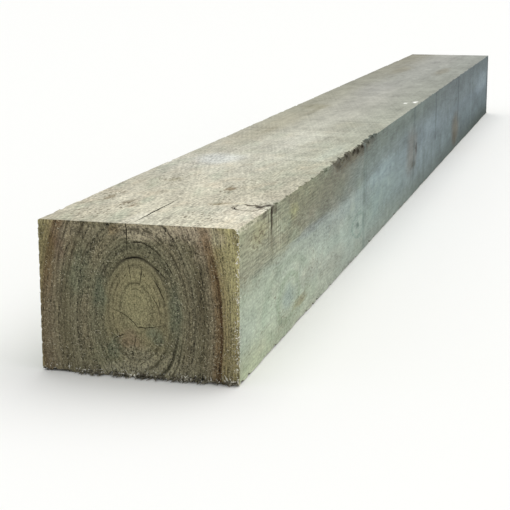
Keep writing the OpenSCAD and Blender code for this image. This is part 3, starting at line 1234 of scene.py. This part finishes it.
FACE_PATCHES = [
    ((123, 138), (8, 20), 0.6, "#4a4130", False),
    ((123, 118), (8, 34), 0.4, "#6c6449", False),
    ((122, 147), (15, 8), 0.9, "#3d3528", False),
    ((138, 145), (11, 7), 0.7, "#544b3a", False),
    ((72, 132), (46, 16), 0.5, "#a8a47e", False),
    ((90, 146), (16, 5), 0.6, "#4e4635", False),
    ((221, 128), (26, 11), 0.6, "#a8a87c", False),
    ((195, 38), (36, 19), 0.55, "#95a4a0", False),
    ((195, 38), (56, 29), 0.45, "#8a9a80", True),
    ((185, 42), (120, 44), 0.3, "#8c9b86", True),
    ((595, 42), (14, 7), 0.8, "#5f6f67", False),
    ((595, 42), (44, 20), 0.6, "#82948a", True),
    ((248, 21), (44, 8), 0.65, "#918b6a", False),
    ((300, 44), (90, 16), 0.3, "#b0aa9c", False),
    ((430, 30), (110, 20), 0.3, "#a9a598", False),
    # Dark under the chipped stretch of the top arris: the torn wood's brown, and painted shade, the
    # shadow band below the broken arris
    ((405, 122), (180, 28), 0.5, "#7b7b67", False),
    ((560, 142), (180, 13), 0.8, "#676352", False),
    ((462, 143), (20, 9), 0.7, "#443f33", False),
    ((520, 143), (26, 9), 0.7, "#443f33", False),
    ((575, 143), (34, 9), 0.8, "#3f3a30", False),
    ((628, 144), (46, 9), 0.8, "#474238", False),
    ((690, 146), (50, 7), 0.6, "#4b483e", False),
    ((300, 92), (150, 8), 0.35, "#8f999c", False),
    ((790, 88), (190, 24), 0.4, "#95a5a9", False),
    ((1075, 76), (84, 56), 0.5, "#7c7467", False),
    ((1122, 76), (18, 13), 0.85, "#4b4b47", False),
    ((1098, 52), (30, 9), 0.7, "#5b5b50", False),
    ((1335, 96), (220, 22), 0.45, "#8a999f", False),
    ((1705, 42), (84, 46), 0.65, "#6f6654", False),
    ((1690, 22), (40, 24), 0.5, "#524d40", False),
    ((2250, 96), (180, 38), 0.5, "#8e9ca3", False),
]
BACK_PATCHES = [
    ((420, 60), (26, 22), 0.5, "#857d63", False),
    ((420, 60), (44, 32), 0.4, "#7d7862", True),
    ((1290, 96), (34, 20), 0.5, "#84806a", False),
    ((1980, 40), (160, 28), 0.35, "#8f876e", False),
]
BED_PATCHES = [
    ((300, 20), (180, 40), 0.4, "#86826c", False),
    ((1700, -30), (300, 50), 0.4, "#88846e", False),
]
BAR_FADE = 9  # how far a bar's tips fade, inside and outside its ends

# Bars square across the face side, where the saw was stopped or a batten lay: the distance
# from the head, half width, lowest and highest level, share and colour. The dark bars at the
# saw stops are partly stain and partly painted shade, drawn in where the saw's small steps
# shade the face too faintly.
FACE_BARS = [
    (110, 2.0, 112, 170, 0.6, "#665d44"), (122, 3.4, 124, 170, 0.9, "#352f22"),
    (146, 2.6, 116, 142, 0.7, "#c6c5ad"), (155, 2.0, 104, 138, 0.6, "#bfc0aa"),
    (163, 1.8, 112, 136, 0.4, "#bfc0aa"),
    (636, 13, -30, 180, 0.45, "#74847e"), (652, 3.2, 35, 180, 0.8, "#465150"),
    (1102, 12, 30, 180, 0.6, "#566262"), (1378, 10, 60, 180, 0.7, "#505c5e"),
    (1560, 6, -30, 180, 0.25, "#636f6e"), (1742, 15, 50, 180, 0.65, "#525e60"),
    (2040, 9, 40, 180, 0.55, "#556164"), (2390, 22, -30, 180, 0.6, "#515a5d"),
]

# Where a face is rubbed and dirty, so that its dark flecks show: centre, size and share
TOP_SCUFFS = [
    ((93, 45), (40, 18), 1),
    ((142, 78), (52, 18), 1),
    ((42, 63), (60, 36), 0.9),
    ((214, -28), (40, 20), 1),
    ((147, -44), (54, 12), 0.9),
    ((47, -44), (66, 46), 0.75),
    ((259, 51), (80, 34), 0.9),
    ((128, -83), (22, 20), 1),
    ((267, -44), (110, 24), 0.6),
]
FACE_SCUFFS = [((70, 128), (60, 20), 0.8), ((480, 138), (160, 14), 0.9),
               ((250, 116), (160, 26), 0.5)]


LONG_SWAY = 9.0  # how far the rings wander along the timber
NEAR_FADE = (1150, 100)  # distances from the head at which fine figure is faint and full


def sawn_place(tree, place, upright):
    """The level up or across on a long face, and the flat place there, both moved about
    so that what is laid out on them has uneven edges."""
    for grain, reach, seed in (((150, 40, 40), (20, 5, 5), 21), ((26, 6, 6), (9, 2.2, 2.2), 22),
                               ((44, 2.5, 2.5), (0, 5, 5), 25)):
        place = warped(tree, place, grain, reach, seed)
    along, across, up = add(tree, "ShaderNodeSeparateXYZ", {0: place}).node.outputs
    level = up if upright else across
    return level, add(tree, "ShaderNodeCombineXYZ", {"X": along, "Y": level})


def with_bars(tree, place, along, level, bars, colour):
    """Lays the bars over the colour, rubbed off to half here and there."""
    rubbed = mask(tree, blotches(tree, place, (40, 30, 16), 33), 0.30, 0.50)
    rubbed = add(tree, "ShaderNodeMath", {0: rubbed, 1: 0.5, 2: 0.5}, operation="MULTIPLY_ADD")
    return painted(tree, colour, [
        (shade, band(tree, along, at, width, share, rubbed,
                     mask(tree, level, low - BAR_FADE, low + BAR_FADE),
                     mask(tree, level, high + BAR_FADE, high - BAR_FADE)))
        for at, width, low, high, share, shade in bars])


def saw_strokes(tree, place, along, strokes):
    """The patterns of the saw's strokes and the rollers' marks, each for mottled()."""
    for slant, spacing, swing, start, end in strokes:
        run = add(tree, "ShaderNodeVectorMath", {0: place, 1: slant}, "Value",
                  operation="DOT_PRODUCT")
        reach = mask(tree, along, start, start + 150, mask(tree, along, end, end - 300))
        uneven = mask(tree, blotches(tree, place, (150, 50, 50), 29), 0.3, 0.6)
        yield stripes(tree, run, spacing, 5), swing, reach, uneven


def with_flecks(tree, place, along, flat, near, fur, scuffs, colour):
    """Dark flecks in clusters and where the face is scuffed. The worn arrises are bruised pale
    near the head, with a painted highlight where they catch the light, and torn dark where
    they are chipped, with painted shade below the broken edge."""
    clusters = mask(tree, blotches(tree, place, (60, 22, 22), 30, 3.0), 0.52, 0.70, 0.6)
    for centre, size, share in scuffs:
        scuffed = patch(tree, flat, (*centre, 0), (*size, 1000), share)
        clusters = add(tree, "ShaderNodeMath", {0: clusters, 1: scuffed}, operation="MAXIMUM")
    specks = blotches(tree, place, (6, 2.2, 2.2), 32, 3.0)
    worn = add(tree, "ShaderNodeAttribute", out="Fac", attribute_name="wear")
    chipped = mask(tree, along, 400, 450, mask(tree, along, 690, 640))
    return painted(tree, colour, [
        ("#685e48", mask(tree, specks, 0.54, 0.64, clusters, near, 0.95)),
        # Worn arris near the head: pale bruised wood and a painted highlight
        ("#d9d3bb", mask(tree, worn, 0.1, 0.6, mask(tree, fur, 0.42, 0.60),
                         mask(tree, along, 460, 300), 0.5)),
        # Worn arris where it is chipped: dark torn wood and painted shade
        ("#5a5648", mask(tree, worn, 0.1, 0.7, chipped, mask(tree, fur, 0.70, 0.35), 0.8))])


def sawn_colour(lanes, patches, bars, scuffs, upright, grain, nap, strokes):
    """Rough-sawn pine, pressure-treated and weathered: pale and greenish, matt and fuzzy,
    with fine dark flecks and faint strokes of the saw. upright tells a side from the top
    or bed. grain and nap are (size, swing) of the fibres' streaks and of their nap, and
    each stroke is (slant, spacing, swing, start, end)."""
    def colour_of(tree, place):
        along = add(tree, "ShaderNodeSeparateXYZ", {0: place}, "X")
        level, flat = sawn_place(tree, place, upright)
        near = mask(tree, along, *NEAR_FADE)

        warm = blotches(tree, place, (50, 24, 24), 23, 3.0)
        green = blotches(tree, place, (80, 26, 26), 24, 3.0)
        colour = painted(tree, lane_colours(tree, along, level, lanes), [
            ("#bfae93", mask(tree, warm, 0.48, 0.72, near, 0.12 if upright else 0.3)),
            ("#a3b19a", mask(tree, green, 0.48, 0.75, near, 0.35))])
        colour = painted(tree, colour, [
            (shade, patch(tree, flat, (*centre, 0), (*size, 1000), share, hollow))
            for centre, size, share, shade, hollow in patches])
        colour = with_bars(tree, place, along, level, bars, colour)

        rings, _ = growth_rings(tree, place, LONG_SWAY)
        heartwood = mask(tree, level, 86, 98) if upright else 1.0
        (grain_size, grain_swing), (nap_size, nap_swing) = grain, nap
        streaks = blotches(tree, place, grain_size, 26)
        fur = blotches(tree, place, nap_size, 27)
        colour = mottled(tree, colour, [
            (blotches(tree, place, (90, 30, 30), 28, 3.0), 0.7),
            (blotches(tree, place, (24, 9, 9), 31, 1.0), 0.4),
            (stripes(tree, rings, 3.1), 0.15),
            (streaks, 0.3 * grain_swing), (streaks, 0.7 * grain_swing, near, heartwood),
            (fur, 0.15 * nap_swing), (fur, 0.85 * nap_swing, near),
            *saw_strokes(tree, place, along, strokes)])
        colour = with_flecks(tree, place, along, flat, near, fur, scuffs, colour)
        height = add(tree, "ShaderNodeMath", {0: streaks, 1: fur}, operation="ADD")
        return colour, height
    return colour_of


def split_colour(tree, place):
    """The inside of a drying split: dark, partly because the dirt and the preservative run in,
    and partly as painted shade deep in the split.
    """
    dirt = blotches(tree, place, (9, 2, 2), 41)
    return ramp(tree, dirt, [(0.3, "#211c14"), (0.7, "#40382a")]), dirt


def torn_colour(tree, place):
    """Wood torn out of an arris: brown and shaggy, with long paler fibres."""
    fibres = blotches(tree, place, (14, 1.1, 1.1), 42)
    return ramp(tree, fibres, [(0.3, "#48453b"), (0.5, "#706b5c"), (0.7, "#a59f8b")]), fibres


def raised_colour(tree, place):
    """Single fibres that stand up from the cut and have dried pale. Near the bed and along the
    face side's arris they are painted near white, a painted highlight that lifts them out of
    the shade there."""
    _, across, up = add(tree, "ShaderNodeSeparateXYZ", {0: place}).node.outputs
    tone = blotches(tree, place, (2, 2, 2), 43, 0.0)
    colour = ramp(tree, tone, [(0.3, "#8d866b"), (0.5, "#b4ac90"), (0.7, "#dad4bc")])
    # Where the fibres get the painted highlight: near the bed and along the face side's arris
    arris = add(tree, "ShaderNodeMath", {0: mask(tree, up, 10, 5), 1: mask(tree, across, -93, -96)},
                operation="MAXIMUM")
    return painted(tree, colour, [("#fbf8ec", mask(tree, tone, 0.3, 0.5, arris))]), tone


# A saw's strokes run square across the timber; a feed roller's marks nearly along it
TOP_STROKES = [((1, -0.1, 0), 11.0, 0.40, 200, 1500), ((1, -0.1, 0), 60.0, 0.22, 300, 2700),
               ((-0.26, 0.96, 0), 3.6, 0.26, 0, 1500)]
SIDE_STROKES = [((1, 0, 0), 4.0, 0.30, -150, 900), ((1, 0, 0.04), 34.0, 0.28, 300, 2700)]

# The size on each axis and the swing of a face's streaks, and of its nap
TOP_GRAIN, TOP_NAP = ((26, 1.7, 1.7), 0.7), ((5.0, 2.6, 2.6), 1.6)
SIDE_GRAIN, SIDE_NAP = ((26, 2, 1.9), 1.5), ((6, 2.6, 2.4), 1.1)


def make_finishes():
    """Every material, in the order of the slots."""
    bed = sawn_colour(BED_LANES, BED_PATCHES, [], [], False, SIDE_GRAIN, SIDE_NAP, TOP_STROKES)
    back = sawn_colour(BACK_LANES, BACK_PATCHES, [], [], True, SIDE_GRAIN, SIDE_NAP,
                       SIDE_STROKES)
    top = sawn_colour(TOP_LANES, TOP_PATCHES, [], TOP_SCUFFS, False, TOP_GRAIN, TOP_NAP,
                      TOP_STROKES)
    face = sawn_colour(FACE_LANES, FACE_PATCHES, FACE_BARS, FACE_SCUFFS, True, SIDE_GRAIN,
                       SIDE_NAP, SIDE_STROKES)
    return [finish_material(*finish) for finish in (
        ("sawn_treated_pine_bed", bed, 0.92, 0.5),
        ("sawn_treated_pine_back", back, 0.9, 0.5),
        ("sawn_treated_pine_top", top, 0.9, 0.6),
        ("sawn_treated_pine_face", face, 0.9, 0.5),
        ("cross_cut_treated_pine_end", end_grain_colour, 0.93, 0.8),
        ("dried_pine_split", split_colour, 0.95, 0.4, 0.1),
        ("torn_pine_arris", torn_colour, 0.9, 0.6, 0.15),
        ("raised_pine_fibre", raised_colour, 0.9, 0.1, 0.15))]


# ---------------------------------------------------------------- floor, light and camera

FLOOR_REACH = 60.0  # metres, out of view in every direction
FLOOR_GAP = 0.0005  # metres below the bed
LIGHT_FROM = (0.36, -0.2, 0.95)  # a soft light, high up on the face side
CAMERA_PLACE = (-2.354, -0.425, 0.389)  # metres
CAMERA_TURN, CAMERA_DIP = 15.05, 12.38  # degrees off +X, to the back and down
LENS = 94.3  # millimetres, on a 36 mm sensor


def place_object(name, data, rotation):
    """A lamp or a camera in the scene, turned by a rotation."""
    made = bpy.data.objects.new(name, data)
    bpy.context.collection.objects.link(made)
    made.rotation_euler = rotation.to_euler()
    return made


def make_floor():
    """A plain pale floor, painted matt."""
    corners = [(x * FLOOR_REACH, y * FLOOR_REACH, TIMBER_LOW[2] - FLOOR_GAP)
               for x, y in ((-1, -1), (1, -1), (1, 1), (-1, 1))]
    floor = new_object("floor", new_mesh("floor", corners, [[0, 1, 2, 3]]))
    paint = bpy.data.materials.new("matt_white_studio_floor")
    paint.use_nodes = True
    shader = paint.node_tree.nodes["Principled BSDF"]
    shader.inputs["Base Color"].default_value = linear("#f6f6f4")
    shader.inputs["Roughness"].default_value = 0.9
    floor.data.materials.append(paint)


def make_light():
    """A white studio that lights the timber from all round, and one broad soft lamp."""
    world = bpy.data.worlds.new("studio")
    bpy.context.scene.world = world
    world.use_nodes = True
    tree = world.node_tree
    tree.nodes.clear()
    seen = add(tree, "ShaderNodeBackground", {"Color": (1, 1, 1, 1), "Strength": 1.0})
    giving = add(tree, "ShaderNodeBackground", {"Color": (0.96, 0.98, 1, 1), "Strength": 0.62})
    direct = add(tree, "ShaderNodeLightPath", out="Is Camera Ray")
    mix = add(tree, "ShaderNodeMixShader", {0: direct, 1: giving, 2: seen})
    add(tree, "ShaderNodeOutputWorld", {"Surface": mix})

    lamp = bpy.data.lights.new("overhead", "SUN")
    lamp.energy = 1.7
    lamp.angle = math.radians(70)
    lamp.color = (1.0, 0.98, 0.95)
    place_object("overhead", lamp, Vector(LIGHT_FROM).to_track_quat("Z", "Y"))


def make_camera():
    """A long lens, looking along the timber from beyond its head."""
    data = bpy.data.cameras.new("camera")
    data.sensor_width = 36.0
    data.lens = LENS
    turn, dip = math.radians(CAMERA_TURN), math.radians(CAMERA_DIP)
    ahead = Vector((math.cos(turn) * math.cos(dip), math.sin(turn) * math.cos(dip),
                    -math.sin(dip)))
    camera = place_object("camera", data, ahead.to_track_quat("-Z", "Y"))
    camera.location = CAMERA_PLACE
    bpy.context.scene.camera = camera
    bpy.context.scene.view_settings.view_transform = "Standard"


finishes = make_finishes()
timber, *grid = make_timber(finishes)
fibres = torn_fibres(grid, finishes)
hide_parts("sleeper")
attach(timber, "root")
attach(fibres, "root")

make_floor()
make_light()
make_camera()
